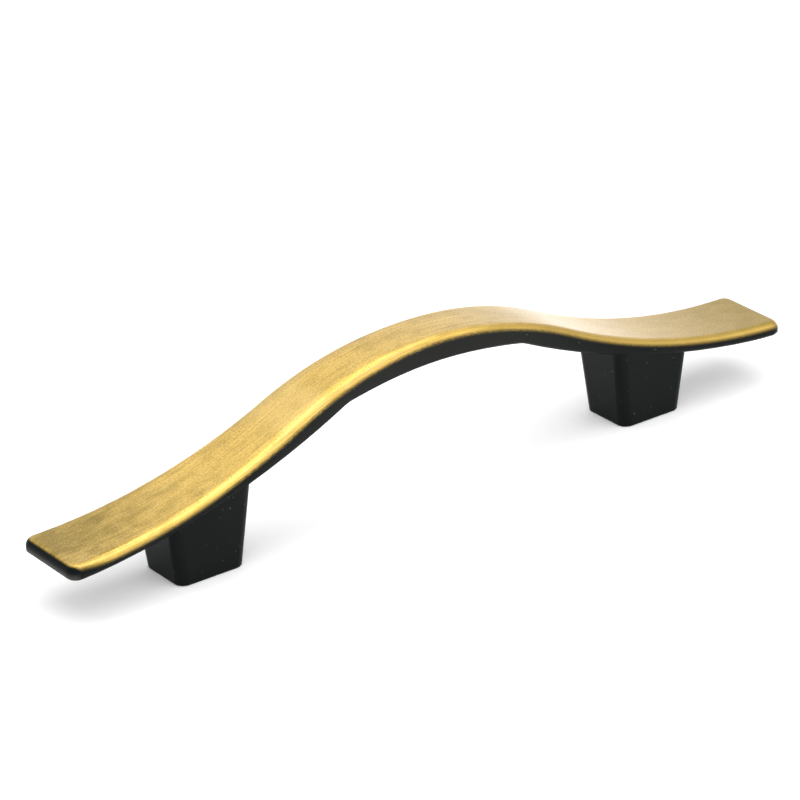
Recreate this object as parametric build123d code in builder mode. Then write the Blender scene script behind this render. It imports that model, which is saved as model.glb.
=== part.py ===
"""A wave-shaped cabinet pull: one casting, a waisted bowed strap on two tapered posts.

Millimetres. The cabinet face is the plane Z = 0 and the handle stands out of it along +Z.
X runs along the strap, Y across it, and the origin is midway between the two screw holes.
"""
import math
import os

from build123d import *

# Strap, seen from the side
overall_length = 153.8
crown_height = 30.0            # cabinet face to the highest point of the strap
crown_radius = 67.0            # convex arc over the middle
crown_half_angle = 26.1        # slope where the crown turns into a wing, degrees
wing_radius = 110.5            # concave arc that carries each wing out to its tip
middle_thickness = 4.65
end_thickness = 2.7
recess_half_length = 18.85     # from the middle to the bend in the underside
recess_bend_thickness = 3.75   # thickness of the strap at that bend
recess_bend_slope = 25.6       # slope of the underside just outside the bend, degrees
recess_bend_radius = 6.0

# Strap, seen from above
middle_width = 10.4
end_width = 16.2
waist_radius = 200.0           # rounds the narrowest point of each side
end_corner_radius = 2.2

# Edges of the strap
top_edge_radius = 1.5
lower_edge_chamfer = 0.5
least_side = 0.4               # flat left between the two edges where the strap is thinnest

# Posts
hole_spacing = 96.0
foot_length = 13.4             # along the strap
foot_width = 11.2              # across the strap
draft_along = 6.5              # degrees, the posts widen from the foot to the strap
draft_across = 3.5
post_corner_radius = 2.0
foot_edge_radius = 0.4

# Blind tapped holes for M4 machine screws
tap_drill_diameter = 3.3
tap_depth = 11.0
tap_mouth_diameter = 4.3
tap_mouth_angle = 90.0

# Worked out from the sizes above
half_length = overall_length / 2
profile_overrun = end_thickness / 2  # the side profile runs past the ends, which the plan then trims
wing_start_x = crown_radius * math.sin(math.radians(crown_half_angle))
wing_run = half_length + profile_overrun - wing_start_x
tip_slope = math.degrees(math.asin(math.sin(math.radians(crown_half_angle)) - wing_run / wing_radius))
wing_turn = crown_half_angle - tip_slope
bend_fall = crown_radius - math.sqrt(crown_radius**2 - recess_half_length**2)
bend_height = crown_height - bend_fall - recess_bend_thickness
bend_direction = (math.cos(math.radians(recess_bend_slope)), -math.sin(math.radians(recess_bend_slope)))
edge_share = min(1, (end_thickness - least_side) / (top_edge_radius + lower_edge_chamfer))
lower_cut = edge_share * lower_edge_chamfer
top_round = min(edge_share * top_edge_radius, end_corner_radius - least_side / 2)
seat_depth = end_thickness - lower_cut  # the posts reach into the strap to this far below its top


def top_line(drop):
    """Draw the crown and both wings, lowered by drop, and give the right-hand end."""
    crown_centre = (0, crown_height - crown_radius - drop)
    crown = CenterArc(crown_centre, crown_radius, 90 - crown_half_angle, 2 * crown_half_angle)
    wing = JernArc(crown @ 0, (crown % 0) * -1, wing_radius, wing_turn)
    mirror(wing, about=Plane.YZ)
    return wing @ 1


def drafted_outline(foot, draft):
    """Corners of a post's outline, which widens from its foot up to the height of the bend."""
    root = foot + 2 * bend_height * math.tan(math.radians(draft))
    return (-foot / 2, 0), (foot / 2, 0), (root / 2, bend_height), (-root / 2, bend_height)


def facing(face):
    """Sort a face of the strap: 1 for the top, 0 for a side or end, -1 for the underside."""
    return round(face.normal_at(face.center()).Z)


# The strap: the side profile across the full width, trimmed to the waisted plan
with BuildPart() as strap:
    with BuildSketch(Plane.XZ) as side_view:
        with BuildLine():
            top_end = top_line(0)
            bend = (recess_half_length, bend_height)
            recess = ThreePointArc((-recess_half_length, bend_height), (0, crown_height - middle_thickness), bend)
            under_wing = TangentArc(bend, top_end - (0, end_thickness), tangent=bend_direction)
            tip = Line(top_end, under_wing @ 1)
            mirror([under_wing, tip], about=Plane.YZ)
        make_face()
        bends = [side_view.vertices().sort_by_distance(recess @ end)[0] for end in (0, 1)]
        fillet(bends, recess_bend_radius)
    extrude(amount=end_width, both=True)

    with BuildSketch(Plane.XY) as plan_view:
        with BuildLine():
            corner = (half_length, end_width / 2)
            Polyline((0, middle_width / 2), corner, (corner[0], -corner[1]), (0, -middle_width / 2))
            mirror(about=Plane.YZ)
        make_face()
        waists = plan_view.vertices().group_by(lambda v: abs(v.X))[0]
        fillet(waists, waist_radius)
        corners = plan_view.vertices().group_by(lambda v: abs(v.X))[-1]
        fillet(corners, end_corner_radius)
    extrude(amount=2 * crown_height, mode=Mode.INTERSECT)

    under, sides, top = strap.faces().group_by(facing)
    chamfer((under.edges() & sides.edges()).sort_by(Axis.X), lower_cut)
    under, sides, top = strap.faces().group_by(facing)
    fillet((top.edges() & sides.edges()).sort_by(Axis.X), top_round)

# The posts: blocks drafted both ways, with rounded corners, that stop inside the strap
with BuildPart() as posts:
    with BuildSketch(Plane.XZ):
        with BuildLine():
            seat_end = top_line(seat_depth)
            Polyline(seat_end, (seat_end.X, 0), (-seat_end.X, 0), (-seat_end.X, seat_end.Y))
        make_face()
        with BuildSketch(mode=Mode.INTERSECT):
            with GridLocations(hole_spacing, 0, 2, 1):
                Polygon(*drafted_outline(foot_length, draft_along), align=None)
    extrude(amount=end_width, both=True)
    with BuildSketch(Plane.YZ):
        Polygon(*drafted_outline(foot_width, draft_across), align=None)
    extrude(amount=overall_length, both=True, mode=Mode.INTERSECT)
    drafted_edges = posts.edges().filter_by(GeomType.LINE).filter_by(Axis.X, reverse=True)
    fillet(drafted_edges.filter_by(Axis.Y, reverse=True), post_corner_radius)

# The casting, with its screw holes tapped up the posts
with BuildPart() as handle:
    add(strap.part)
    add(posts.part)
    feet = handle.faces().group_by(Axis.Z)[0]
    fillet(feet.edges(), foot_edge_radius)
    with Locations(Plane(origin=(0, 0, 0), x_dir=(1, 0, 0), z_dir=(0, 0, -1))):
        with GridLocations(hole_spacing, 0, 2, 1):
            CounterSinkHole(tap_drill_diameter / 2, tap_mouth_diameter / 2, tap_depth, tap_mouth_angle)

handle.part.label = "handle"
os.makedirs("parts", exist_ok=True)
export_step(handle.part, "parts/handle.step")
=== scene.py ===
# %% [markdown]
# A bow-shaped cabinet pull. It is one metal casting: a waisted strap that runs in a wave over two
# tapered posts. The maker blackened the whole casting and then brushed the top of the strap back
# to brass, so the two finishes share one piece of metal. Its shape could be modelled here again,
# but the solid comes ready made as the node "handle" and is right as it is. So this lesson gives
# it only its finish, its stage, its light and its camera.

# %% Load the casting and keep its box
import math

import bpy
from mathutils import Matrix, Vector


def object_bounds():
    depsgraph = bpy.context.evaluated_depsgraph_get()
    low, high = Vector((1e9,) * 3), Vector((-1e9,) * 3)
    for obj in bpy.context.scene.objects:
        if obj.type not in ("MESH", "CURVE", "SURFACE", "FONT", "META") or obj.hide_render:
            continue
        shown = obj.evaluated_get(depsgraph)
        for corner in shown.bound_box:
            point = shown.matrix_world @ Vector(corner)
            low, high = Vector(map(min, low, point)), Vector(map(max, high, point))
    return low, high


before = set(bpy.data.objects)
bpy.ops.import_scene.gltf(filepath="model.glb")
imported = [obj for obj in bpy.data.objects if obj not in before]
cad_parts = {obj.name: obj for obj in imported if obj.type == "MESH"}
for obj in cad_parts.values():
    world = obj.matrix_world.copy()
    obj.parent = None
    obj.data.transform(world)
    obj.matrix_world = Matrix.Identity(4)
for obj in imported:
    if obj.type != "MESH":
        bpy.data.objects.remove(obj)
cad_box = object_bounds()
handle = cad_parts["handle"]
mm = 0.001
print("casting", handle.name, len(handle.data.polygons), "faces, box in mm",
      [[round(c / mm, 2) for c in corner] for corner in cad_box])

# %% [markdown]
# The camera. The picture was taken with a long lens from in front, to the left and above, with a
# slight roll. A camera can be set by eye or with a tracking constraint. Here it is worked out from
# its angles, its distance and the point it looks at, because then each number can be read.

# %% Place the camera
azimuth = math.radians(-35.83)
elevation = math.radians(25.17)
roll = math.radians(-1.85)
camera_distance = 722.87 * mm
aim_right = -3.83 * mm
aim_up = 14.80 * mm
lens_length = 185.4   # Blender gives the lens and its sensor in millimetres
sensor_width = 36
nearest_seen = 0.01
farthest_seen = 20

back = Vector((math.sin(azimuth) * math.cos(elevation),
               -math.cos(azimuth) * math.cos(elevation), math.sin(elevation)))
level_right = Vector((math.cos(azimuth), math.sin(azimuth), 0))
level_up = back.cross(level_right)
right = math.cos(roll) * level_right + math.sin(roll) * level_up
up = math.cos(roll) * level_up - math.sin(roll) * level_right

camera_data = bpy.data.cameras.new("camera")
camera_data.lens = lens_length
camera_data.sensor_width = sensor_width
camera_data.clip_start = nearest_seen
camera_data.clip_end = farthest_seen
camera = bpy.data.objects.new("camera", camera_data)
bpy.context.scene.collection.objects.link(camera)
turn = Matrix((right, up, back)).transposed().to_4x4()
stand = right * aim_right + up * aim_up + back * camera_distance
camera.matrix_world = Matrix.Translation(stand) @ turn
bpy.context.scene.camera = camera
print("camera at", [round(c, 4) for c in stand], "lens", camera_data.lens)

# %% [markdown]
# Where the brass ends. The brush reached the top face and a little way over its rounded edges. So
# the finish depends on one thing: how deep a point lies under the top of the strap. Vertex colours
# could hold that, but they are only as fine as the mesh. The top is a convex arc between two
# concave arcs, and the depth under an arc is a distance from its centre. So a small node group
# with two centres and two radii gives it exactly. The helpers come first: every node is made the
# same way, and short functions for that keep the later cells easy to read.

# %% Helpers for node graphs


def add_node(graph, kind, values=None, **settings):
    """Make a node, apply its settings, and fill its inputs with numbers or with links."""
    node = graph.nodes.new(kind)
    for name, setting in settings.items():
        setattr(node, name, setting)
    for key, value in (values or {}).items():
        if isinstance(value, bpy.types.NodeSocket):
            graph.links.new(value, node.inputs[key])
        else:
            node.inputs[key].default_value = value
    return node


def math_node(graph, operation, first, second=0.0, third=0.0, clamp=False):
    """One Math node; its output is returned, ready to be used in the next one."""
    node = add_node(graph, "ShaderNodeMath", {0: first, 1: second, 2: third},
                    operation=operation, use_clamp=clamp)
    return node.outputs[0]


def vector_node(graph, operation, first, second, output):
    """One Vector Math node; the named output is returned."""
    node = add_node(graph, "ShaderNodeVectorMath", {0: first, 1: second}, operation=operation)
    return node.outputs[output]


def mix_value(graph, factor, first, second):
    """Mix two numbers by a factor. A Mix node takes numbers at its sockets 2 and 3."""
    node = add_node(graph, "ShaderNodeMix", {0: factor, 2: first, 3: second}, data_type="FLOAT")
    return node.outputs[0]


print("helpers", [f.__name__ for f in (add_node, math_node, vector_node, mix_value)])

# %% Depth under the top of the strap
crown_radius = 67.0 * mm
crown_half_angle = math.radians(26.1)
wing_radius = 110.5 * mm
crown_centre = (0.0, 0.0, cad_box[1].z - crown_radius)
wing_centre = ((crown_radius + wing_radius) * math.sin(crown_half_angle), 0.0,
               crown_centre[2] + (crown_radius + wing_radius) * math.cos(crown_half_angle))
wing_start = crown_radius * math.sin(crown_half_angle)

depth_group = bpy.data.node_groups.new("depth_under_top", "ShaderNodeTree")
depth_group.interface.new_socket("Position", in_out="INPUT", socket_type="NodeSocketVector")
depth_group.interface.new_socket("Depth", in_out="OUTPUT", socket_type="NodeSocketFloat")
given = depth_group.nodes.new("NodeGroupInput")
result = depth_group.nodes.new("NodeGroupOutput")

axes = add_node(depth_group, "ShaderNodeSeparateXYZ", {0: given.outputs["Position"]})
outward = math_node(depth_group, "ABSOLUTE", axes.outputs["X"])
folded = add_node(depth_group, "ShaderNodeCombineXYZ", {"X": outward, "Z": axes.outputs["Z"]}).outputs[0]
from_crown = vector_node(depth_group, "DISTANCE", folded, crown_centre, "Value")
from_wing = vector_node(depth_group, "DISTANCE", folded, wing_centre, "Value")
under_crown = math_node(depth_group, "SUBTRACT", crown_radius, from_crown)
under_wing = math_node(depth_group, "SUBTRACT", from_wing, wing_radius)
on_wing = math_node(depth_group, "GREATER_THAN", outward, wing_start)
under_top = mix_value(depth_group, on_wing, under_crown, under_wing)
depth_group.links.new(under_top, result.inputs["Depth"])
print("wing arc centre in mm", [round(c / mm, 2) for c in wing_centre])

# %% [markdown]
# Brush marks. On the real pull a brush was drawn along the strap. It left fine grain, long streaks,
# some deeper scratches and cloudy patches. Such marks could be a picture or cut into the mesh.
# Noise that is pulled long along the strap has no seams and stays sharp close up. Noise laid flat
# from above would smear on the sides, so the way across also counts the depth down the side.

# %% A new material that knows its place on the strap
plated = bpy.data.materials.new("plated_casting")
plated.use_nodes = True
metal = plated.node_tree
metal.nodes.clear()

place = add_node(metal, "ShaderNodeTexCoord").outputs["Object"]
depth = add_node(metal, "ShaderNodeGroup", {"Position": place}, node_tree=depth_group).outputs["Depth"]
axes = add_node(metal, "ShaderNodeSeparateXYZ", {0: place})
along = axes.outputs["X"]
sideways = axes.outputs["Y"]
unrolled = math_node(metal, "MULTIPLY_ADD", math_node(metal, "SIGN", sideways), depth, sideways)
brush_place = add_node(metal, "ShaderNodeCombineXYZ", {"X": along, "Y": unrolled}).outputs[0]
print("material", plated.name, "begun with", len(metal.nodes), "nodes")

# %% The brush marks
noise_roughness = 0.55


def brushed_noise(length, width, detail=2.0, seed=0.0):
    """Noise whose grains are so long and so wide, along and across the strap."""
    spot = add_node(metal, "ShaderNodeMapping", {0: brush_place, "Location": (seed, seed, seed),
                                                 "Scale": (1 / length, 1 / width, 1)}).outputs[0]
    return add_node(metal, "ShaderNodeTexNoise", {"Vector": spot, "Scale": 1, "Detail": detail,
                                                  "Roughness": noise_roughness}).outputs["Fac"]


grain = brushed_noise(length=0.4 * mm, width=0.24 * mm, detail=1)
streaks = brushed_noise(length=14 * mm, width=0.34 * mm, seed=3.0)
scratches = brushed_noise(length=7 * mm, width=0.25 * mm, seed=7.0)
clouds = brushed_noise(length=4 * mm, width=2.5 * mm, detail=3, seed=11.0)
tatters = brushed_noise(length=0.8 * mm, width=0.2 * mm, seed=5.0)
print("brush marks from", sum(n.bl_idname == "ShaderNodeTexNoise" for n in metal.nodes), "noises")

# %% [markdown]
# How far the brush reached. On the long sides the brass fades out over about a millimetre, down the
# rounded edge. At the left end it stops almost at the edge of the top. A hard line between the two
# finishes would look like a sticker. So the mask is a fade between two depths, and both depths
# move along the strap. Ramps that change smoothly from one value to another are used for that, and
# again in most of the next cells.

# %% Ramps along the strap and down its side


def spread(graph, value, low, high, to_low=0.0, to_high=1.0):
    """Map a range of values smoothly onto another range."""
    node = add_node(graph, "ShaderNodeMapRange",
                    {"Value": value, "From Min": low, "From Max": high, "To Min": to_low, "To Max": to_high},
                    interpolation_type="SMOOTHSTEP")
    return node.outputs["Result"]


def ramp_along(start, stop, before=0.0, after=1.0):
    """A value that changes between two places along the strap, in mm from its middle."""
    return spread(metal, along, start * mm, stop * mm, before, after)


def ramp_down(start, stop, above=1.0, below=0.0):
    """A value that changes between two depths under the top, in mm."""
    return spread(metal, depth, start * mm, stop * mm, above, below)


def times(first, second):
    """One value of the metal multiplied by another."""
    return math_node(metal, "MULTIPLY", first, second)


left_end = ramp_along(start=-76.0, stop=-74.9, before=1.0, after=0.0)
rising_side = times(ramp_along(start=-48, stop=-28), ramp_along(start=-14, stop=12, before=1.0, after=0.0))
print("zones of the left end and the rising side made,", len(metal.nodes), "nodes so far")

# %% The fade from brass to black
shallower_at_tip = ramp_along(start=-76.9, stop=-69, before=0.75 * mm, after=0.0)
deeper_on_left = ramp_along(start=-50, stop=-38, before=-0.22 * mm, after=0.0)
deeper_on_rise = -0.14 * mm
shallower = math_node(metal, "ADD", shallower_at_tip, deeper_on_left)
shallower = math_node(metal, "MULTIPLY_ADD", rising_side, deeper_on_rise, shallower)


def reach_of_brush(on_sides, at_left_end):
    """A depth that moves along the long sides and has its own value at the left end."""
    sides = math_node(metal, "SUBTRACT", on_sides, shallower)
    return mix_value(metal, left_end, sides, at_left_end)


full_brass = reach_of_brush(on_sides=0.58 * mm, at_left_end=0.12 * mm)
last_brass = reach_of_brush(on_sides=1.56 * mm, at_left_end=0.42 * mm)
left_to_go = math_node(metal, "SUBTRACT", last_brass, depth)
fade_length = math_node(metal, "SUBTRACT", last_brass, full_brass)
fade = math_node(metal, "DIVIDE", left_to_go, fade_length, clamp=True)
print("fade made,", len(metal.nodes), "nodes so far")

# %% [markdown]
# The border. Bristles don't stop in a clean line: the border of the brass is torn along the brush
# marks, most of all where the brushing was strong. A finer mask could be painted by hand. Noise
# added to the fade gives the same torn look on every side. It is weighed by how far the fade still
# is from both its ends, so it moves the border only and leaves plain brass and plain black alone.

# %% A torn border
raggedness = 0.65
fade_power = 2.5

strong_brushing = ramp_along(start=-5, stop=45, before=1.0, after=0.35)
coarse = times(strong_brushing, ramp_along(start=-52, stop=-34, before=0.4, after=1.0))
torn = spread(metal, tatters, low=0.25, high=0.75, to_low=-raggedness, to_high=raggedness)
torn = times(torn, coarse)
in_the_fade = times(fade, math_node(metal, "SUBTRACT", 1.0, fade))
fade = math_node(metal, "MULTIPLY_ADD", in_the_fade, torn, fade, clamp=True)
brass = math_node(metal, "POWER", fade, fade_power, clamp=True)
print("border torn by up to", raggedness, "and fading with the power", fade_power)

# %% [markdown]
# Dull brass. Both ends of the strap were rubbed less than its middle and stayed dull, and cloudy
# patches lie between them. A second material could be mixed in there. It is the same metal with
# the same marks, though, so one mask that says how dull it is will do: it darkens the colour here,
# and later it thins the lacquer.

# %% Dull ends and patches
dull_left = times(ramp_along(start=-71, stop=-44, before=0.85, after=0.0),
                  spread(metal, sideways, low=-6 * mm, high=0.0, to_low=0.55, to_high=1.0))
dull_right = ramp_along(start=38, stop=78, before=0.0, after=0.8)
dull_ends = times(math_node(metal, "ADD", dull_left, dull_right),
                  ramp_down(start=0.02, stop=0.5, above=1.0, below=0.2))
patches = spread(metal, clouds, low=0.35, high=0.7, to_low=-0.16, to_high=0.34)
patches = times(patches, strong_brushing)
dull = math_node(metal, "ADD", dull_ends, patches, clamp=True)
print("dull mask made,", len(metal.nodes), "nodes so far")

# %% [markdown]
# The colour of the brass. It is pale where the brush ran bright and darker in its marks, and one
# place on the rising side was rubbed paler still. The marks could be bump alone, but then they
# would vanish in soft light. So the noises that make the relief also move the colour. On the
# rounded edge the marks show less, and there the grain counts for less.

# %% The tone of the brush marks
middle_tone = 0.5

fine_share = times(ramp_along(start=-20, stop=20, before=0.75, after=0.4),
                   ramp_down(start=0.02, stop=0.3, above=1.0, below=0.35))
long_share = ramp_along(start=-5, stop=45, before=0.55, after=0.08)
tone = middle_tone
for marks, share in ((grain, fine_share), (streaks, long_share)):
    off_middle = math_node(metal, "SUBTRACT", marks, middle_tone)
    tone = math_node(metal, "MULTIPLY_ADD", off_middle, share, tone)
print("tone of the marks around", middle_tone)

# %% The colour of the brass
mid_brass = (0.56, 0.345, 0.03, 1)
pale_brass = (0.98, 0.655, 0.125, 1)
rubbed_brass = (1.0, 0.75, 0.32, 1)
dull_tint = (0.45, 0.45, 0.12, 1)
dark_tone = 0.3
bright_tone = 0.7


def mix_colour(graph, factor, first, second, blend="MIX"):
    """Mix two colours by a factor. A Mix node takes colours at its sockets 6 and 7."""
    node = add_node(graph, "ShaderNodeMix", {0: factor, 6: first, 7: second},
                    data_type="RGBA", blend_type=blend)
    return node.outputs[2]


brass_colour = mix_colour(metal, spread(metal, tone, dark_tone, bright_tone), mid_brass, pale_brass)
brass_colour = mix_colour(metal, dull, brass_colour, dull_tint, "MULTIPLY")
rubbed = times(ramp_along(start=-38, stop=-29, before=0.0, after=0.22),
               ramp_along(start=-26, stop=-20, before=1.0, after=0.0))
rubbed = times(rubbed, ramp_down(start=0.02, stop=0.25))
brass_colour = mix_colour(metal, rubbed, brass_colour, rubbed_brass)
scratched = spread(metal, scratches, low=0.6, high=0.72, to_low=0.0, to_high=0.5)
scratched = times(scratched, strong_brushing)
brass_colour = mix_colour(metal, scratched, brass_colour, dull_tint, "MULTIPLY")
print("brass from", mid_brass[:3], "to", pale_brass[:3])

# %% [markdown]
# The black. The rest of the casting is satin black with fine pale specks. It is a little greyer
# where hands touch the sides of the crown. On the lower part of the left end face it is worn, and
# there it is also painted lighter, as a painted reflection of the table in its lower edge. A flat
# black would be simpler, but it would look like a hole in the picture. The specks are the centres
# of small Voronoi cells, thinned out by a slow noise so that they lie unevenly.

# %% The colour of the black
plain_black = (0.0015, 0.0035, 0.003, 1)
speck_grey = (0.11, 0.11, 0.10, 1)
# This grey is wear on the sides of the crown and on the left end, and a painted reflection of the table on
# the lower part of the left end face.
wear_and_reflection_grey = (0.050, 0.049, 0.044, 1)
cells_per_metre = 900


def even_noise(size, detail=2.0):
    """Noise with grains of one size in every direction."""
    return add_node(metal, "ShaderNodeTexNoise", {"Vector": place, "Scale": 1 / size, "Detail": detail,
                                                  "Roughness": noise_roughness}).outputs["Fac"]


cells = add_node(metal, "ShaderNodeTexVoronoi", {"Vector": place, "Scale": cells_per_metre}, feature="F1")
specks = spread(metal, cells.outputs["Distance"], low=0.02, high=0.17, to_low=1.0, to_high=0.0)
specks = times(specks, spread(metal, even_noise(size=1.8 * mm, detail=1), low=0.48, high=0.66))
black_colour = mix_colour(metal, specks, plain_black, speck_grey)

from_middle = math_node(metal, "ABSOLUTE", along)
near_crown = spread(metal, from_middle, low=12 * mm, high=46 * mm, to_low=1.0, to_high=0.0)
handled = times(near_crown, ramp_down(start=3.5, stop=6, above=0.24, below=0.0))
# The lower part of the left end face is worn, and it is also painted lighter there: a painted reflection of
# the table in its lower edge.
end_wear_and_reflection = times(left_end, ramp_down(start=1.0, stop=2.2, above=0.0, below=1.0))
wear_and_reflection = math_node(metal, "ADD", handled, end_wear_and_reflection, clamp=True)
black_colour = mix_colour(metal, wear_and_reflection, black_colour, wear_and_reflection_grey)
print("black", plain_black[:3], "with specks in cells of", round(1 / cells_per_metre / mm, 2), "mm")

# %% [markdown]
# The relief. On the rising side the edge of the strap was rubbed rounder, which spreads the light
# along it. A wider round in the solid could do that, but this one fades out along the strap. So a
# Bump node tips the light over the edge there, as far in as the plan of the strap says. A second
# Bump node is laid over the first. It gives the brass its fine ridges and the black its soft
# unevenness, which are both far too small for a mesh.

# %% The rolled edge
half_length = 76.9 * mm
middle_half_width = 5.2 * mm
end_half_width = 8.1 * mm
waist_softness = 3.7 * mm
roll_width = 3.2 * mm
roll_depth = 0.9 * mm
roll_power = 2.0
full_strength = 1.0

side_slope = (end_half_width - middle_half_width) / half_length
from_waist = math_node(metal, "SQRT", math_node(metal, "MULTIPLY_ADD", along, along, waist_softness ** 2))
half_width = math_node(metal, "MULTIPLY_ADD", from_waist, side_slope, middle_half_width)
inset = math_node(metal, "SUBTRACT", half_width, math_node(metal, "ABSOLUTE", sideways))
rolled_over = math_node(metal, "MULTIPLY_ADD", inset, -1 / roll_width, 1.0, clamp=True)
rolled_over = times(math_node(metal, "POWER", rolled_over, roll_power), rising_side)
sunk = times(rolled_over, -1.0)
edge_roll = add_node(metal, "ShaderNodeBump", {"Height": sunk, "Strength": full_strength,
                                               "Distance": roll_depth})
print("edge rolled over", round(roll_width / mm, 1), "mm of the top")

# %% The ridges
coat_grain = 0.5 * mm
ridge_depth = 0.03 * mm
ridge_strength = 0.25

ridges = mix_value(metal, brass, even_noise(coat_grain), tone)
relief = add_node(metal, "ShaderNodeBump", {"Height": ridges, "Strength": ridge_strength,
                                            "Distance": ridge_depth, "Normal": edge_roll.outputs[0]})
print("ridges up to", round(ridge_depth / mm, 2), "mm deep")

# %% [markdown]
# The shader. On the real pull brass and black are two finishes of one casting. They could be two
# materials on two sets of faces, but the border runs across faces. So one Principled shader takes
# the mask as its Metallic, and the colours are mixed by it. Brushed metal stretches its highlights
# across the marks, which is what the anisotropy and its tangent do. The clear lacquer over the
# brass is the coat, and it is thinner where the brass is dull.

# %% The plated casting
mark_roughness = 0.44
bright_roughness = 0.34
black_roughness = 0.42
lacquer_lost_when_dull = -0.4
strap_direction = (1, 0, 0)

colour = mix_colour(metal, brass, black_colour, brass_colour)
brass_roughness = spread(metal, tone, dark_tone, bright_tone, mark_roughness, bright_roughness)
roughness = mix_value(metal, brass, black_roughness, brass_roughness)
lacquer = times(brass, math_node(metal, "MULTIPLY_ADD", dull, lacquer_lost_when_dull, 1.0, clamp=True))
facing = add_node(metal, "ShaderNodeNewGeometry").outputs["Normal"]
crosswise = vector_node(metal, "CROSS_PRODUCT", facing, strap_direction, "Vector")
surface = add_node(metal, "ShaderNodeBsdfPrincipled", {
    "Base Color": colour, "Metallic": brass, "Roughness": roughness, "Normal": relief.outputs[0],
    "Tangent": crosswise, "Anisotropic": 0.5, "Specular IOR Level": 0.09,
    "Coat Weight": lacquer, "Coat Roughness": 0.2, "Coat IOR": 1.65})
add_node(metal, "ShaderNodeOutputMaterial", {"Surface": surface.outputs[0]})

handle.data.materials.clear()
handle.data.materials.append(plated)
print("material", plated.name, len(metal.nodes), "nodes")

# %% [markdown]
# Soft edges. The lower edges of the solid are small flats, where the real ones are rounded. Rounds
# could be cut there, but they would cost many faces on an edge that few see. It is enough that
# light rolls over them. So the faces are joined, split again only at sharp corners, and each edge
# takes its shading from the larger face beside it.

# %% Shade the small edges as rounds
join_distance = 0.001 * mm
corner_angle = math.radians(60)
face_weight = 50

weld = handle.modifiers.new("join_faces", "WELD")
weld.merge_threshold = join_distance
corners = handle.modifiers.new("keep_corners", "EDGE_SPLIT")
corners.split_angle = corner_angle
rolled = handle.modifiers.new("roll_edges", "WEIGHTED_NORMAL")
rolled.weight = face_weight
print("edge shading", [m.name for m in handle.modifiers])

# %% [markdown]
# The table. The handle stands on a white table. More light could make the table white, but that
# would bleach the brass too. So the table takes light as paper does and keeps its soft shadow, and
# for the camera and for reflections a little of its own white is added.

# %% The shape of the table
table_half_size = 3.0
corner_signs = [(-1, -1), (1, -1), (1, 1), (-1, 1)]
table_corners = [(table_half_size * x, table_half_size * y, 0) for x, y in corner_signs]
table_mesh = bpy.data.meshes.new("floor")
table_mesh.from_pydata(table_corners, [], [(0, 1, 2, 3)])
table = bpy.data.objects.new("floor", table_mesh)
bpy.context.scene.collection.objects.link(table)
print("table", 2 * table_half_size, "m square")

# %% The white of the table
paper_white = (0.95, 0.95, 0.95, 1)
own_white = 0.15

paper = bpy.data.materials.new("white_table")
paper.use_nodes = True
sheet = paper.node_tree
sheet.nodes.clear()
diffuse = add_node(sheet, "ShaderNodeBsdfDiffuse", {"Color": paper_white})
rays = add_node(sheet, "ShaderNodeLightPath")
seen = math_node(sheet, "MAXIMUM", rays.outputs["Is Camera Ray"], rays.outputs["Is Glossy Ray"])
seen = math_node(sheet, "MAXIMUM", seen, rays.outputs["Is Transmission Ray"])
glow = add_node(sheet, "ShaderNodeEmission", {"Strength": math_node(sheet, "MULTIPLY", seen, own_white)})
both = add_node(sheet, "ShaderNodeAddShader", {0: diffuse.outputs[0], 1: glow.outputs[0]})
add_node(sheet, "ShaderNodeOutputMaterial", {"Surface": both.outputs[0]})
table.data.materials.append(paper)
print("table white", paper_white[0], "and", own_white, "of its own")

# %% [markdown]
# The room. Metal shows what is around it, so the walls matter as much as the lamp. A studio could
# be built from panels, but the world shader can be its walls. They are pale all round, darker to
# the right, where the brass turns deeper towards its end, and lighter in front, which lifts the
# black sides. Each patch is a soft cone around one direction.

# %% The walls of the studio
wall_white = (1, 1, 1, 1)
wall_level = 0.92
dark_wall_level = 0.6
light_wall_extra = 0.35

world = bpy.data.worlds.new("studio")
bpy.context.scene.world = world
world.use_nodes = True
room = world.node_tree
room.nodes.clear()
toward = add_node(room, "ShaderNodeTexCoord").outputs["Generated"]


def wall_patch(direction, outer_edge, inner_edge, outside, inside):
    """A level that changes softly inside a cone; its edges are cosines of the angle from its axis."""
    nearness = vector_node(room, "DOT_PRODUCT", toward, direction, "Value")
    return spread(room, nearness, outer_edge, inner_edge, outside, inside)


dark_wall = wall_patch(direction=(0.96, -0.2, 0.2), outer_edge=0.72, inner_edge=0.97,
                       outside=wall_level, inside=dark_wall_level)
light_wall = wall_patch(direction=(0.2, -0.95, 0.24), outer_edge=0.5, inner_edge=0.9,
                        outside=0.0, inside=light_wall_extra)
walls = math_node(room, "ADD", dark_wall, light_wall)
backdrop = add_node(room, "ShaderNodeBackground", {"Color": wall_white, "Strength": walls})
add_node(room, "ShaderNodeOutputWorld", {"Surface": backdrop.outputs[0]})
print("walls at", wall_level, "down to", dark_wall_level, "and up to", wall_level + light_wall_extra)

# %% [markdown]
# The lamp. One large softbox hangs over the table, a little in front of the handle. Its reflection
# is the bright line along the near edge of the strap, and its size makes the shadows soft. Several
# small lamps could light the scene as evenly, but each would draw a line of its own on the metal.
# The Standard view then shows every colour as it was written, with no film look over it.

# %% The softbox
lamp_place = Vector((-0.08, -0.25, 1.0))
lamp_target = Vector((-0.08, -0.25, 0.0))
lamp_width = 1.2
lamp_length = 1.25
lamp_watts = 6.7

softbox = bpy.data.lights.new("top_lamp", "AREA")
softbox.shape = "RECTANGLE"
softbox.size = lamp_width
softbox.size_y = lamp_length
softbox.energy = lamp_watts
lamp = bpy.data.objects.new("top_lamp", softbox)
lamp.location = lamp_place
lamp.rotation_euler = (lamp_target - lamp_place).to_track_quat("-Z", "Y").to_euler()
bpy.context.scene.collection.objects.link(lamp)
bpy.context.scene.view_settings.view_transform = "Standard"
print("lamp", lamp.name, round(softbox.energy, 2), "W")
